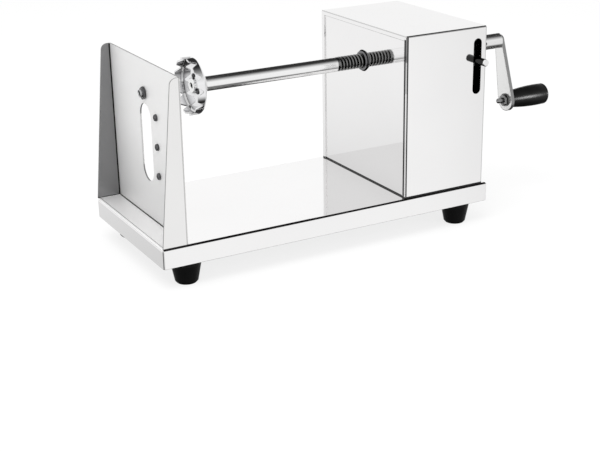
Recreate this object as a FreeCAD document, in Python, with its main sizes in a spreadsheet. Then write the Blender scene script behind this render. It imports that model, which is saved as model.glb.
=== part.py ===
import FreeCAD, Part
import math
import os
import re

import Sketcher

# Hand cranked spiral potato cutter, millimetres, +Z up.
# The row frame has its origin on the table under the middle of the whole machine, +X towards the crank.
# Places are written in machine coordinates: x from the tray's blade end, y from the shaft's plane
# with the front at -y, z from the tray's top. put() moves them into the row frame.

SIZES = [
    ("blade_end_x", -268.6, "tray's blade end in the row frame"),
    ("shaft_y", 6.5, "shaft's plane in the row frame"),
    ("tray_top_z", 45.2, "tray's top above the table"),
    ("tray_length", 400.0, "tray along the machine"),
    ("tray_width", 184.7, "tray across the machine"),
    ("tray_height", 21.2, "folded skirt of the tray"),
    ("tray_sheet", 1.5, "sheet of the tray"),
    ("tray_side_lip", 27.0, "inward return along both sides"),
    ("tray_end_lip", 12.0, "inward return along both ends"),
    ("tray_bend", 2.6, "outside radius of the tray's folds"),
    ("foot_inset", 31.0, "foot centre from the blade end"),
    ("foot_far", 367.0, "far feet from the blade end"),
    ("foot_side", 76.5, "foot centre from the shaft's plane"),
    ("foot_top_radius", 15.8, "rubber foot at the tray"),
    ("foot_bottom_radius", 12.2, "rubber foot on the table"),
    ("foot_height", 24.0, "rubber foot"),
    ("foot_recess_radius", 7.5, "recess for the screw head"),
    ("foot_recess_depth", 8.0, "recess for the screw head"),
    ("foot_hole", 2.75, "screw hole radius"),
    ("plate_face", 27.1, "blade plate's cut side, from the blade end"),
    ("plate_sheet", 1.5, "sheet of the blade plate"),
    ("plate_height", 172.2, "blade plate above the tray"),
    ("flange_foot", 0.6, "side flange's free edge at the tray"),
    ("flange_head", 17.6, "side flange's free edge at the top"),
    ("flange_corner", 7.0, "round corner at the flange's top"),
    ("plate_bend", 2.2, "outside radius of the plate's folds"),
    ("slice_slot_half", 14.25, "half width of the slice slot"),
    ("slice_slot_low", 42.3, "slice slot's lowest point"),
    ("slice_slot_high", 126.0, "slice slot's highest point"),
    ("shaft_height", 137.1, "shaft axis above the tray"),
    ("blade_screw_side", 29.0, "blade screws in front of the shaft's plane"),
    ("blade_screw_low", 55.0, "lowest blade screw"),
    ("blade_screw_pitch", 31.3, "between blade screws"),
    ("blade_low", 46.0, "blade's lower end"),
    ("blade_high", 129.0, "blade's upper end"),
    ("blade_sheet", 1.2, "blade steel"),
    ("blade_rise", 5.6, "cutting edge above the blade plate: slice and blade"),
    ("guide_bore", 2.75, "skewer guide's bore radius"),
    ("guide_radius", 4.0, "skewer guide's thread radius"),
    ("guide_flange", 6.6, "skewer guide's flange radius"),
    ("box_start", 289.7, "gear box, from the blade end"),
    ("box_end", 393.6, "gear box's crank side"),
    ("box_half", 89.35, "gear box's half width"),
    ("box_height", 179.95, "gear box above the tray"),
    ("box_sheet", 1.2, "sheet of the cover"),
    ("box_bend", 2.0, "outside radius of the cover's folds"),
    ("hem_left", 5.5, "cover's return on the blade side"),
    ("hem_right", 10.0, "cover's return on the crank side"),
    ("left_wall", 1.5, "left end plate"),
    ("right_wall", 2.0, "right end plate"),
    ("wall_foot", 16.0, "end plate's fixing flange"),
    ("pin_x", 382.4, "release pin and lever, from the blade end"),
    ("slot_half", 5.3, "half width of the release slot"),
    ("slot_low", 105.3, "release slot's lowest point"),
    ("slot_high", 167.2, "release slot's highest point"),
    ("shaft_radius", 8.0, "main shaft"),
    ("shaft_start", 80.0, "main shaft's potato end"),
    ("thread_start", 255.8, "first thread turn"),
    ("thread_length", 184.0, "threaded stretch"),
    ("thread_pitch", 4.0, "single start, right hand"),
    ("thread_root", 5.75, "thread's root radius"),
    ("shaft_step", 449.0, "shaft steps down for the crank hub"),
    ("shaft_end", 484.0, "shaft's crank end"),
    ("journal_radius", 4.5, "shaft inside the crank hub"),
    ("socket_radius", 2.75, "skewer socket in the shaft's end"),
    ("socket_depth", 40.0, "skewer socket in the shaft's end"),
    ("disc_radius", 30.5, "potato disc"),
    ("disc_back", 85.0, "potato disc's back face"),
    ("disc_depth", 11.0, "potato disc with its teeth"),
    ("disc_sheet", 1.8, "sheet of the potato disc"),
    ("disc_hub_radius", 13.0, "hub behind the disc"),
    ("disc_hub_length", 8.0, "hub behind the disc"),
    ("bearing_outer", 17.5, "ball bearing's outer radius"),
    ("bearing_width", 11.0, "ball bearing"),
    ("bearing_pitch", 12.75, "radius of the circle of balls"),
    ("ball_radius", 2.95, "bearing ball"),
    ("bearing_land_in", 10.8, "inner ring's outside radius"),
    ("bearing_land_out", 14.7, "outer ring's inside radius"),
    ("shaft_clearance", 0.3, "between the shaft and the rings it slides in"),
    ("housing_radius", 22.0, "bearing housing's body"),
    ("housing_flange", 32.0, "bearing housing's flange"),
    ("housing_bolt", 27.0, "radius of the housing's screw circle"),
    ("hub_radius", 9.0, "crank hub"),
    ("arm_sheet", 4.0, "crank arm"),
    ("arm_head_radius", 6.5, "crank arm round the shaft"),
    ("arm_tip_radius", 13.2, "crank arm round the handle"),
    ("crank_radius", 71.0, "handle from the shaft axis"),
    ("crank_tilt", 14.3, "arm from straight down, degrees"),
    ("grip_length", 51.8, "handle grip"),
    ("grip_bore", 4.08, "grip's running bore radius"),
    ("handle_pin", 4.0, "handle bolt's shoulder radius"),
    ("handle_thread", 3.0, "handle bolt's thread radius"),
    ("pivot_y", 70.0, "lever pivot behind the shaft's plane"),
    ("pivot_z", 128.0, "lever pivot above the tray"),
    ("pivot_radius", 4.0, "lever pivot bolt"),
    ("lever_bar", 8.0, "lever's thickness along the machine"),
    ("release_pin_z", 143.0, "release pin above the tray"),
    ("release_pin_radius", 4.0, "release pin"),
    ("release_pin_reach", 16.0, "release pin in front of the cover"),
    ("spring_y", -45.0, "return spring from the shaft's plane"),
    ("spring_radius", 3.4, "return spring's mean coil radius"),
    ("spring_wire", 0.55, "return spring's wire radius"),
    ("spring_low", 136.0, "return spring's lower end"),
    ("spring_high", 160.0, "return spring's upper end"),
    ("spring_pitch", 1.8, "return spring's coils at rest"),
]

X_AXIS = FreeCAD.Rotation(FreeCAD.Vector(0, 1, 0), 90)
X_BACK = FreeCAD.Rotation(FreeCAD.Vector(0, 1, 0), -90)
Y_AXIS = FreeCAD.Rotation(FreeCAD.Vector(1, 0, 0), -90)
Y_BACK = FreeCAD.Rotation(FreeCAD.Vector(1, 0, 0), 90)
Z_AXIS = FreeCAD.Rotation()
Z_DOWN = FreeCAD.Rotation(FreeCAD.Vector(1, 0, 0), 180)
THREAD_START = X_AXIS * FreeCAD.Rotation(FreeCAD.Vector(0, 0, 1), -90)

doc = FreeCAD.newDocument("spiral_cutter")
sheet = doc.addObject("Spreadsheet::Sheet", "sizes")
for row, (alias, number, meaning) in enumerate(SIZES, start=1):
    sheet.set(f"A{row}", alias)
    sheet.set(f"B{row}", str(number))
    sheet.setAlias(f"B{row}", alias)
    sheet.set(f"C{row}", meaning)
doc.recompute()

CELLS = {alias for alias, _, _ in SIZES}
sub_parts = []


# Expressions, placing and keeping


def linked(text):
    """An expression with each cell's name written the way an object outside the sheet reads it."""
    return re.sub(r"[a-z][a-z_]+", lambda word: ("sizes." if word[0] in CELLS else "") + word[0], str(text))


def value(text):
    """The number that an expression of cell names gives."""
    result = sheet.evalExpression(linked(text))
    return float(getattr(result, "Value", result))


def bind(thing, **sizes):
    """Tie properties to expressions of cell names."""
    for path, text in sizes.items():
        thing.setExpression(path, linked(text))
    return thing


def put(thing, x=0, y=0, z=0, turn=Z_AXIS):
    """Place an object at machine coordinates."""
    thing.Placement = FreeCAD.Placement(FreeCAD.Vector(), turn)
    thing.setExpression("Placement.Base.x", linked(f"blade_end_x + ({x})"))
    thing.setExpression("Placement.Base.y", linked(f"shaft_y + ({y})"))
    thing.setExpression("Placement.Base.z", linked(f"tray_top_z + ({z})"))
    return thing


def keep(thing, node):
    """Name an object as one piece of the machine."""
    thing.Label = node
    sub_parts.append(thing)
    return thing


# Primitives and booleans


def block(length, width, height, x=0, y=0, z=0):
    return put(bind(doc.addObject("Part::Box", "block"), Length=length, Width=width, Height=height), x, y, z)


def rod(radius, length, x=0, y=0, z=0, turn=Z_AXIS):
    return put(bind(doc.addObject("Part::Cylinder", "rod"), Radius=radius, Height=length), x, y, z, turn)


def ball(radius, x, y, z):
    return put(bind(doc.addObject("Part::Sphere", "ball"), Radius=radius), x, y, z)


def hexagon(flats, length, x=0, y=0, z=0, turn=Z_AXIS):
    prism = doc.addObject("Part::Prism", "hexagon")
    prism.Polygon = 6
    return put(bind(prism, Circumradius=f"({flats}) / sqrt(3)", Height=length), x, y, z, turn)


def joined(shapes):
    if len(shapes) == 1:
        return shapes[0]
    fusion = doc.addObject("Part::MultiFuse", "fusion")
    fusion.Shapes = shapes
    fusion.Refine = True
    return fusion


def less(base, tools):
    cut = doc.addObject("Part::Cut", "cut")
    cut.Base = base
    cut.Tool = joined(tools)
    return cut


def group(solids):
    compound = doc.addObject("Part::Compound", "group")
    compound.Links = solids
    return compound


# Bodies with sketches


def plane_of(body, role):
    return next(item for item in body.Origin.OriginFeatures if item.Role == role)


def outline(body, role, points):
    """A closed sketch through points (across, up) with expressions for both.

    A third entry (across, up) makes the stretch that starts at the point an arc through that place.
    """
    sketch = body.newObject("Sketcher::SketchObject", "outline")
    sketch.AttachmentSupport = (plane_of(body, role), [""])
    sketch.MapMode = "FlatFace"
    corners = [FreeCAD.Vector(value(point[0]), value(point[1]), 0) for point in points]
    count = len(points)
    for index, point in enumerate(points):
        start, end = corners[index], corners[(index + 1) % count]
        if len(point) == 3:
            middle = FreeCAD.Vector(value(point[2][0]), value(point[2][1]), 0)
            sketch.addGeometry(Part.Arc(start, middle, end), False)
        else:
            sketch.addGeometry(Part.LineSegment(start, end), False)
    for index, point in enumerate(points):
        after = (index + 1) % count
        ends = [
            (2 if len(points[index]) == 2 or ends_after(sketch, index, corners[after]) else 1),
            (1 if len(points[after]) == 2 or not ends_after(sketch, after, corners[after]) else 2),
        ]
        sketch.addConstraint(Sketcher.Constraint("Coincident", index, ends[0], after, ends[1]))
        for kind, text in (("DistanceX", points[after][0]), ("DistanceY", points[after][1])):
            number = sketch.addConstraint(Sketcher.Constraint(kind, -1, 1, index, ends[0], value(text)))
            if linked(text) != str(text):
                sketch.setExpression(f"Constraints[{number}]", linked(text))
        if len(point) == 3:
            sketch.addConstraint(Sketcher.Constraint("Radius", index, sketch.Geometry[index].Radius))
    return sketch


def ends_after(sketch, index, corner):
    """Whether a sketch edge's stored end, which an arc may have swapped, lies on a corner."""
    return sketch.getPoint(index, 2).distanceToPoint(corner) < 1e-6


def turned(points, x=0, y=0, z=0, turn=Z_AXIS):
    """A body turned on a lathe: points are (radius, along), with along on the body's own Z."""
    body = doc.addObject("PartDesign::Body", "turned")
    sketch = outline(body, "XZ_Plane", points)
    revolution = body.newObject("PartDesign::Revolution", "revolution")
    revolution.Profile = sketch
    revolution.ReferenceAxis = (sketch, ["V_Axis"])
    revolution.Angle = 360
    body.Tip = revolution
    return put(body, x, y, z, turn)


def plate(role, points, thickness, x=0, y=0, z=0, middle=False, turn=Z_AXIS):
    """A body cut from sheet or bar: an outline on one of its origin planes, padded."""
    body = doc.addObject("PartDesign::Body", "plate")
    pad = body.newObject("PartDesign::Pad", "pad")
    pad.Profile = outline(body, role, points)
    bind(pad, Length=thickness)
    pad.Midplane = middle
    body.Tip = pad
    return put(body, x, y, z, turn)


def rounded(body, radius, chosen):
    """Fillet the edges of a body's tip that a test picks, in the body's own coordinates."""
    doc.recompute()
    feature = body.Tip
    edges = [f"Edge{n}" for n, edge in enumerate(feature.Shape.Edges, start=1) if chosen(edge)]
    fillet = body.newObject("PartDesign::Fillet", "fillet")
    fillet.Base = (feature, edges)
    bind(fillet, Radius=radius)
    body.Tip = fillet
    return body


def runs_along(edge, axis):
    """Whether an edge is a straight line along an axis (0, 1 or 2)."""
    if not isinstance(edge.Curve, Part.Line):
        return False
    direction = edge.tangentAt(edge.FirstParameter)
    return abs(abs(direction[axis]) - 1) < 1e-6


def edge_at(edge, **places):
    """Whether an edge's middle lies at the given coordinates."""
    middle = edge.CenterOfMass
    return all(abs(getattr(middle, axis) - where) < 0.02 for axis, where in places.items())


# Fasteners


def pan_screw(thread, head, head_height, length, x, y, z, turn):
    """A pan head screw: its head stands on the place given and its shank runs along the turned Z."""
    body = turned(
        [
            (0, length),
            (0, f"-({head_height})"),
            (f"({head}) * 0.55", f"-({head_height})"),
            (f"({head}) * 0.88", f"-({head_height}) * 0.8"),
            (head, f"-({head_height}) * 0.35"),
            (head, 0),
            (thread, 0),
            (thread, f"({length}) - 0.5"),
            (f"({thread}) - 0.5", length),
        ],
        x,
        y,
        z,
        turn,
    )
    wing = value(f"({head}) * 0.62")
    depth = value(f"({head_height}) * 0.55")
    for role in ("XZ_Plane", "YZ_Plane"):
        slot = body.newObject("PartDesign::Pocket", "recess")
        top = f"-({head_height}) - 1"
        floor = f"{depth} - ({head_height})"
        slot.Profile = outline(body, role, [(-wing, top), (wing, top), (wing * 0.6, floor), (-wing * 0.6, floor)])
        bind(slot, Length=f"({head}) * 0.2")
        slot.Midplane = True
        body.Tip = slot
    return body


def nut(flats, thickness, hole, x, y, z, turn):
    """A hexagon nut with chamfered corners, standing on the place given along the turned Z."""
    corner = f"({flats}) / sqrt(3)"
    cone = turned(
        [
            (hole, 0),
            (f"({flats}) * 0.47", 0),
            (f"{corner} + 0.02", f"({thickness}) * 0.18"),
            (f"{corner} + 0.02", f"({thickness}) * 0.82"),
            (f"({flats}) * 0.47", thickness),
            (hole, thickness),
        ],
        x,
        y,
        z,
        turn,
    )
    common = doc.addObject("Part::Common", "nut")
    common.Base = cone
    common.Tool = hexagon(flats, thickness, x, y, z, turn)
    return common


def washer(outer, thickness, hole, x, y, z, turn):
    return turned([(hole, 0), (outer, 0), (outer, thickness), (hole, thickness)], x, y, z, turn)


# Tray and feet

FOOT_PLACES = [
    ("front_left", "foot_inset", "-foot_side"),
    ("front_right", "foot_far", "-foot_side"),
    ("rear_left", "foot_inset", "foot_side"),
    ("rear_right", "foot_far", "foot_side"),
]
FOOT_SCREW = 2.5
FOOT_HEAD = 4.6
FOOT_HEAD_HEIGHT = 3.2
FOOT_WASHER = 1.2
WALL_SCREW_X = ["box_start + 11", "box_end - 13"]
WALL_SCREW_Y = ["-70", "70"]
WALL_SCREW = 2.0


def make_tray():
    body = plate(
        "XY_Plane",
        [
            (0, "-tray_width / 2"),
            ("tray_length", "-tray_width / 2"),
            ("tray_length", "tray_width / 2"),
            (0, "tray_width / 2"),
        ],
        "tray_height",
        z="-tray_height",
    )
    top = value("tray_height")
    body = rounded(body, "tray_bend", lambda edge: edge_at(edge, z=top) or runs_along(edge, 2))
    cavity = block(
        "tray_length - 2 * tray_sheet",
        "tray_width - 2 * tray_sheet",
        "tray_height - 2 * tray_sheet",
        "tray_sheet",
        "tray_sheet - tray_width / 2",
        "tray_sheet - tray_height",
    )
    mouth = block(
        "tray_length - 2 * tray_end_lip",
        "tray_width - 2 * tray_side_lip",
        "tray_height",
        "tray_end_lip",
        "tray_side_lip - tray_width / 2",
        "-tray_height - tray_sheet",
    )
    holes = [rod("foot_hole", 6, x, y, "-tray_height - 2") for _, x, y in FOOT_PLACES]
    holes += [rod(WALL_SCREW + 0.1, 6, x, y, -4) for x in WALL_SCREW_X for y in WALL_SCREW_Y]
    keep(less(body, [joined([cavity, mouth]), *holes]), "base_tray")


def make_feet():
    for corner, x, y in FOOT_PLACES:
        foot = turned(
            [
                ("foot_hole", "foot_recess_depth"),
                ("foot_hole", "foot_height"),
                ("foot_top_radius - 0.4", "foot_height"),
                ("foot_top_radius", "foot_height - 0.5"),
                ("foot_top_radius", "foot_height - 3.5"),
                ("foot_bottom_radius", 2),
                ("foot_bottom_radius - 1.8", 0),
                ("foot_recess_radius", 0),
                ("foot_recess_radius", "foot_recess_depth"),
            ],
            x,
            y,
            "-tray_height - foot_height",
        )
        keep(foot, f"foot_{corner}")
    seat = "-tray_height - foot_height + foot_recess_depth"
    screws, washers, nuts = [], [], []
    for _, x, y in FOOT_PLACES:
        washers.append(washer(6.5, FOOT_WASHER, FOOT_SCREW + 0.2, x, y, f"{seat} - {FOOT_WASHER}", Z_AXIS))
        length = f"foot_height - foot_recess_depth + {FOOT_WASHER} + tray_sheet + 6"
        under = f"{seat} - {FOOT_WASHER}"
        screws.append(pan_screw(FOOT_SCREW, FOOT_HEAD, FOOT_HEAD_HEIGHT, length, x, y, under, Z_AXIS))
        nuts.append(nut(8, 4, FOOT_SCREW, x, y, "-tray_height + tray_sheet", Z_AXIS))
    keep(group(screws), "foot_screws")
    keep(group(washers), "foot_washers")
    keep(group(nuts), "foot_nuts")


# Blade plate, blade and skewer guide

BLADE_SCREW = 2.0
BLADE_SCREW_HEAD = 3.7
BLADE_SCREW_HEAD_HEIGHT = 2.7
BLADE_SCREW_Z = [f"blade_screw_low + {n} * blade_screw_pitch" for n in range(3)]


def make_blade_bracket():
    back = "plate_face + plate_sheet"
    body = plate(
        "XZ_Plane",
        [("flange_foot", 0), (back, 0), (back, "plate_height"), ("flange_head", "plate_height")],
        "tray_width",
        middle=True,
    )
    fold = value(back)
    tip = value("flange_head")
    top = value("plate_height")
    body = rounded(body, "flange_corner", lambda edge: runs_along(edge, 1) and edge_at(edge, x=tip, z=top))
    body = rounded(body, "plate_bend", lambda edge: runs_along(edge, 2) and edge_at(edge, x=fold))
    channel = body.newObject("PartDesign::Pocket", "channel")
    channel.Profile = outline(
        body,
        "XZ_Plane",
        [(-2, -2), ("plate_face", -2), ("plate_face", "plate_height + 2"), (-2, "plate_height + 2")],
    )
    bind(channel, Length="tray_width - 2 * plate_sheet")
    channel.Midplane = True
    body.Tip = channel
    wide = "2 * slice_slot_half"
    low = "slice_slot_low + slice_slot_half"
    high = "slice_slot_high - slice_slot_half"
    before = "plate_face - 3"
    tools = [
        block(8, wide, f"({high}) - ({low})", before, "-slice_slot_half", low),
        rod("slice_slot_half", 8, before, 0, low, X_AXIS),
        rod("slice_slot_half", 8, before, 0, high, X_AXIS),
        rod("guide_radius", 8, before, 0, "shaft_height", X_AXIS),
    ]
    tools += [rod(BLADE_SCREW + 0.1, 8, before, "-blade_screw_side", z, X_AXIS) for z in BLADE_SCREW_Z]
    keep(less(body, [joined(tools)]), "blade_bracket")


def make_blade():
    near = "plate_face + plate_sheet"
    body = plate(
        "XY_Plane",
        [
            (near, -38),
            (f"{near} + blade_sheet", -38),
            (f"{near} + blade_sheet", -17.2),
            (f"{near} + blade_rise", -3.2),
            (f"{near} + blade_rise", -2.6),
            (f"{near} + blade_rise - 0.9", 0.4),
            (f"{near} + blade_rise - 1.0", 0.4),
            (f"{near} + blade_rise - 1.3", -2.8),
            (near, -16.8),
        ],
        "blade_high - blade_low",
        z="blade_low",
    )
    holes = [rod(BLADE_SCREW + 0.1, 8, "plate_face", "-blade_screw_side", z, X_AXIS) for z in BLADE_SCREW_Z]
    keep(less(body, holes), "cutting_blade")
    side = "-blade_screw_side"
    far = "plate_face + plate_sheet + blade_sheet"
    length = "plate_sheet + blade_sheet + 4.4"
    sizes = (BLADE_SCREW, BLADE_SCREW_HEAD, BLADE_SCREW_HEAD_HEIGHT, length)
    screws = [pan_screw(*sizes, "plate_face", side, z, X_AXIS) for z in BLADE_SCREW_Z]
    keep(group(screws), "blade_screws")
    keep(group([nut(7, 3.2, BLADE_SCREW, far, side, z, X_AXIS) for z in BLADE_SCREW_Z]), "blade_nuts")


def make_skewer_guide():
    guide = turned(
        [
            ("guide_bore", 0.8),
            ("guide_bore", 8.2),
            ("guide_bore + 0.8", 9),
            ("guide_radius - 0.4", 9),
            ("guide_radius", 8.6),
            ("guide_radius", 2),
            ("guide_flange", 2),
            ("guide_flange", 0.6),
            ("guide_flange - 0.6", 0),
            ("guide_bore + 0.8", 0),
        ],
        "plate_face + plate_sheet + 2",
        0,
        "shaft_height",
        X_BACK,
    )
    keep(guide, "skewer_guide")
    keep(nut(12, 3, "guide_radius", "plate_face", 0, "shaft_height", X_BACK), "skewer_guide_nut")


# Gear box

COVER_SCREW = 1.5
COVER_SCREW_PLACES = [
    (f"{side} * (box_half - hem_right / 2)", z) for side in (-1, 1) for z in ("30", "box_height - 34")
]
COVER_SCREW_PLACES += [(f"{side} * 52", "box_height - hem_right / 2") for side in (-1, 1)]
HOUSING_SCREW = 2.0
HOUSING_SCREW_PLACES = [
    (f"{across} * housing_bolt / sqrt(2)", f"shaft_height + {up} * housing_bolt / sqrt(2)")
    for across in (-1, 1)
    for up in (-1, 1)
]


def make_cover():
    length = "box_end - box_start"
    body = plate(
        "XZ_Plane",
        [(0, 0), (length, 0), (length, "box_height"), (0, "box_height")],
        "2 * box_half",
        x="box_start",
        middle=True,
    )
    side = value("box_half")
    top = value("box_height")
    body = rounded(
        body,
        "box_bend",
        lambda edge: runs_along(edge, 0) and edge_at(edge, z=top) and abs(abs(edge.CenterOfMass.y) - side) < 0.02,
    )
    inside = "2 * (box_half - box_sheet)"
    tools = [
        block(
            f"{length} - 2 * box_sheet",
            inside,
            "box_height - box_sheet + 2",
            "box_start + box_sheet",
            "box_sheet - box_half",
            -2,
        ),
        block(
            20,
            "2 * (box_half - hem_left)",
            "box_height - hem_left + 2",
            "box_start - 10",
            "hem_left - box_half",
            -2,
        ),
        block(
            20,
            "2 * (box_half - hem_right)",
            "box_height - hem_right + 2",
            "box_end - 10",
            "hem_right - box_half",
            -2,
        ),
        block(
            "2 * slot_half",
            10,
            "slot_high - slot_low - 2 * slot_half",
            "pin_x - slot_half",
            "-box_half - 5",
            "slot_low + slot_half",
        ),
        rod("slot_half", 10, "pin_x", "-box_half - 5", "slot_low + slot_half", Y_AXIS),
        rod("slot_half", 10, "pin_x", "-box_half - 5", "slot_high - slot_half", Y_AXIS),
    ]
    tools += [rod(COVER_SCREW + 0.1, 6, "box_end - 3", y, z, X_AXIS) for y, z in COVER_SCREW_PLACES]
    keep(less(body, [joined(tools)]), "box_cover")


def wall(thickness, reach, x):
    """An end plate with its fixing flange: reach is the flange's free end, before or behind the plate."""
    face = f"{thickness} * ({reach}) / abs({reach})"
    height = "box_height - box_sheet - 0.1"
    return plate(
        "XZ_Plane",
        [(0, 0), (reach, 0), (reach, thickness), (face, thickness), (face, height), (0, height)],
        "2 * (box_half - box_sheet - 0.1)",
        x=x,
        middle=True,
    )


def make_end_plates():
    holes = [rod(WALL_SCREW + 0.1, 6, WALL_SCREW_X[0], y, -2) for y in WALL_SCREW_Y]
    holes.append(rod("bearing_land_in + 1.2", 8, "box_start - 2", 0, "shaft_height", X_AXIS))
    keep(less(wall("left_wall", "wall_foot", "box_start + box_sheet"), holes), "left_end_plate")
    holes = [rod(WALL_SCREW + 0.1, 6, WALL_SCREW_X[1], y, -2) for y in WALL_SCREW_Y]
    holes.append(rod("bearing_land_out", 8, "box_end - 6", 0, "shaft_height", X_AXIS))
    holes += [rod(HOUSING_SCREW + 0.1, 8, "box_end - 6", y, z, X_AXIS) for y, z in HOUSING_SCREW_PLACES]
    holes += [rod(COVER_SCREW, 8, "box_end - 6", y, z, X_AXIS) for y, z in COVER_SCREW_PLACES]
    holes.append(rod("pivot_radius", 8, "box_end - 6", "pivot_y", "pivot_z", X_AXIS))
    holes.append(rod(SPRING_POST, 8, "box_end - 6", "spring_y", SPRING_POST_Z, X_AXIS))
    keep(less(wall("right_wall", "-wall_foot", "box_end - box_sheet"), holes), "right_end_plate")
    heads = {WALL_SCREW_X[0]: "left_wall", WALL_SCREW_X[1]: "right_wall"}
    screws = [
        pan_screw(WALL_SCREW, 3.7, 2.7, f"{sheet_name} + tray_sheet + 5", x, y, sheet_name, Z_DOWN)
        for x, sheet_name in heads.items()
        for y in WALL_SCREW_Y
    ]
    keep(group(screws), "end_plate_screws")
    nuts = [nut(7, 3.2, WALL_SCREW, x, y, "-tray_sheet", Z_DOWN) for x in heads for y in WALL_SCREW_Y]
    keep(group(nuts), "end_plate_nuts")
    screws = [pan_screw(COVER_SCREW, 2.8, 1.9, 6, "box_end", y, z, X_BACK) for y, z in COVER_SCREW_PLACES]
    keep(group(screws), "cover_screws")


# Bearings

LEFT_FACE = "box_start + box_sheet + left_wall"
LEFT_BEARING = f"{LEFT_FACE} + 2.5"
RIGHT_FACE = "box_end - box_sheet"
RIGHT_BEARING = f"{RIGHT_FACE} + 3"
BALL_COUNT = 8
COLLAR_REACH = "left_wall + box_sheet + 2.5 + 1.6"


def housing(flange, flange_thickness, lip, x):
    shoulder = f"({flange_thickness}) + bearing_width + 0.6"
    return turned(
        [
            (lip, 0),
            (flange, 0),
            (flange, flange_thickness),
            ("housing_radius", flange_thickness),
            ("housing_radius", f"{shoulder} - 0.8"),
            ("housing_radius - 0.8", shoulder),
            ("bearing_outer", shoulder),
            ("bearing_outer", flange_thickness),
            (lip, flange_thickness),
        ],
        x,
        0,
        "shaft_height",
        X_AXIS,
    )


def raceway(points, start, side):
    """A bearing ring with its ball groove."""
    groove = doc.addObject("Part::Torus", "groove")
    bind(groove, Radius1="bearing_pitch", Radius2="ball_radius + 0.05")
    put(groove, f"({start}) + bearing_width / 2", 0, "shaft_height", X_AXIS)
    ring = turned(points, start, 0, "shaft_height", X_AXIS)
    return keep(less(ring, [groove]), side)


def make_bearing(side, start, collar):
    """One ball bearing: fixed outer ring, balls in their cage, inner ring that turns with the shaft."""
    raceway(
        [
            ("bearing_land_out", 0),
            ("bearing_outer - 0.5", 0),
            ("bearing_outer", 0.5),
            ("bearing_outer", "bearing_width - 0.5"),
            ("bearing_outer - 0.5", "bearing_width"),
            ("bearing_land_out", "bearing_width"),
        ],
        start,
        f"{side}_bearing_outer_ring",
    )
    bore = "shaft_radius + shaft_clearance"
    raceway(
        [
            (bore, f"-({collar})"),
            ("bearing_land_in - 0.4", f"-({collar})"),
            ("bearing_land_in", f"0.4 - ({collar})"),
            ("bearing_land_in", "bearing_width"),
            (bore, "bearing_width"),
        ],
        start,
        f"{side}_bearing_inner_ring",
    )
    middle = f"({start}) + bearing_width / 2"
    steps = [360 / BALL_COUNT * (n + 0.5) for n in range(BALL_COUNT)]
    places = [
        (f"bearing_pitch * cos({step})", f"shaft_height + bearing_pitch * sin({step})") for step in steps
    ]
    keep(group([ball("ball_radius", middle, y, z) for y, z in places]), f"{side}_bearing_balls")
    cage = turned(
        [
            ("bearing_pitch - 1.1", -3.4),
            ("bearing_pitch + 1.1", -3.4),
            ("bearing_pitch + 1.1", 2.2),
            ("bearing_pitch - 1.1", 2.2),
        ],
        middle,
        0,
        "shaft_height",
        X_AXIS,
    )
    pockets = [ball("ball_radius + 0.1", middle, y, z) for y, z in places]
    keep(less(cage, pockets), f"{side}_bearing_cage")


def make_bearings():
    keep(housing("housing_flange", 2.5, "bearing_land_in + 1.2", LEFT_FACE), "left_bearing_housing")
    flange = housing("housing_flange", 3, "bearing_land_out", RIGHT_FACE)
    holes = [rod(HOUSING_SCREW + 0.1, 8, "box_end - 4", y, z, X_AXIS) for y, z in HOUSING_SCREW_PLACES]
    keep(less(flange, holes), "right_bearing_housing")
    face = f"{RIGHT_FACE} + 3"
    sizes = (HOUSING_SCREW, 3.7, 2.7, 8)
    keep(group([pan_screw(*sizes, face, y, z, X_BACK) for y, z in HOUSING_SCREW_PLACES]), "housing_screws")
    inner = f"{RIGHT_FACE} - right_wall"
    nuts = [nut(7, 2.9, HOUSING_SCREW, inner, y, z, X_BACK) for y, z in HOUSING_SCREW_PLACES]
    keep(group(nuts), "housing_nuts")
    make_bearing("left", LEFT_BEARING, COLLAR_REACH)
    make_bearing("right", RIGHT_BEARING, 0)


# Main shaft and half nut

GROOVE_AT_PITCH_RADIUS = 2.0
FLANK = math.tan(math.radians(15))
PITCH_RADIUS = 7.0
NUT_CLEARANCE = 0.3
FLANK_CLEARANCE = 0.25
HALF_NUT_TURNS = 8
HALF_NUT_OFFSET = 26


def thread_sweep(inner, outer, half_inner, half_outer, start, length):
    """A four sided profile swept along the thread's helix: half widths at an inner and an outer radius."""
    helix = doc.addObject("Part::Helix", "thread_line")
    bind(helix, Pitch="thread_pitch", Height=length, Radius=inner)
    put(helix, start, 0, "shaft_height", THREAD_START)
    profile = doc.addObject("Part::Polygon", "thread_profile")
    radii = [value(outer), value(inner)]
    profile.Nodes = [
        FreeCAD.Vector(radii[0], 0, -half_outer),
        FreeCAD.Vector(radii[1], 0, -half_inner),
        FreeCAD.Vector(radii[1], 0, half_inner),
        FreeCAD.Vector(radii[0], 0, half_outer),
    ]
    profile.Close = True
    put(profile, start, 0, "shaft_height", THREAD_START)
    sweep = doc.addObject("Part::Sweep", "thread_sweep")
    sweep.Sections = [profile]
    sweep.Spine = helix
    sweep.Solid = True
    sweep.Frenet = True
    return sweep


def groove_half(radius):
    """Half the groove's width at a radius of the shaft's thread."""
    return GROOVE_AT_PITCH_RADIUS / 2 + (radius - PITCH_RADIUS) * FLANK


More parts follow.
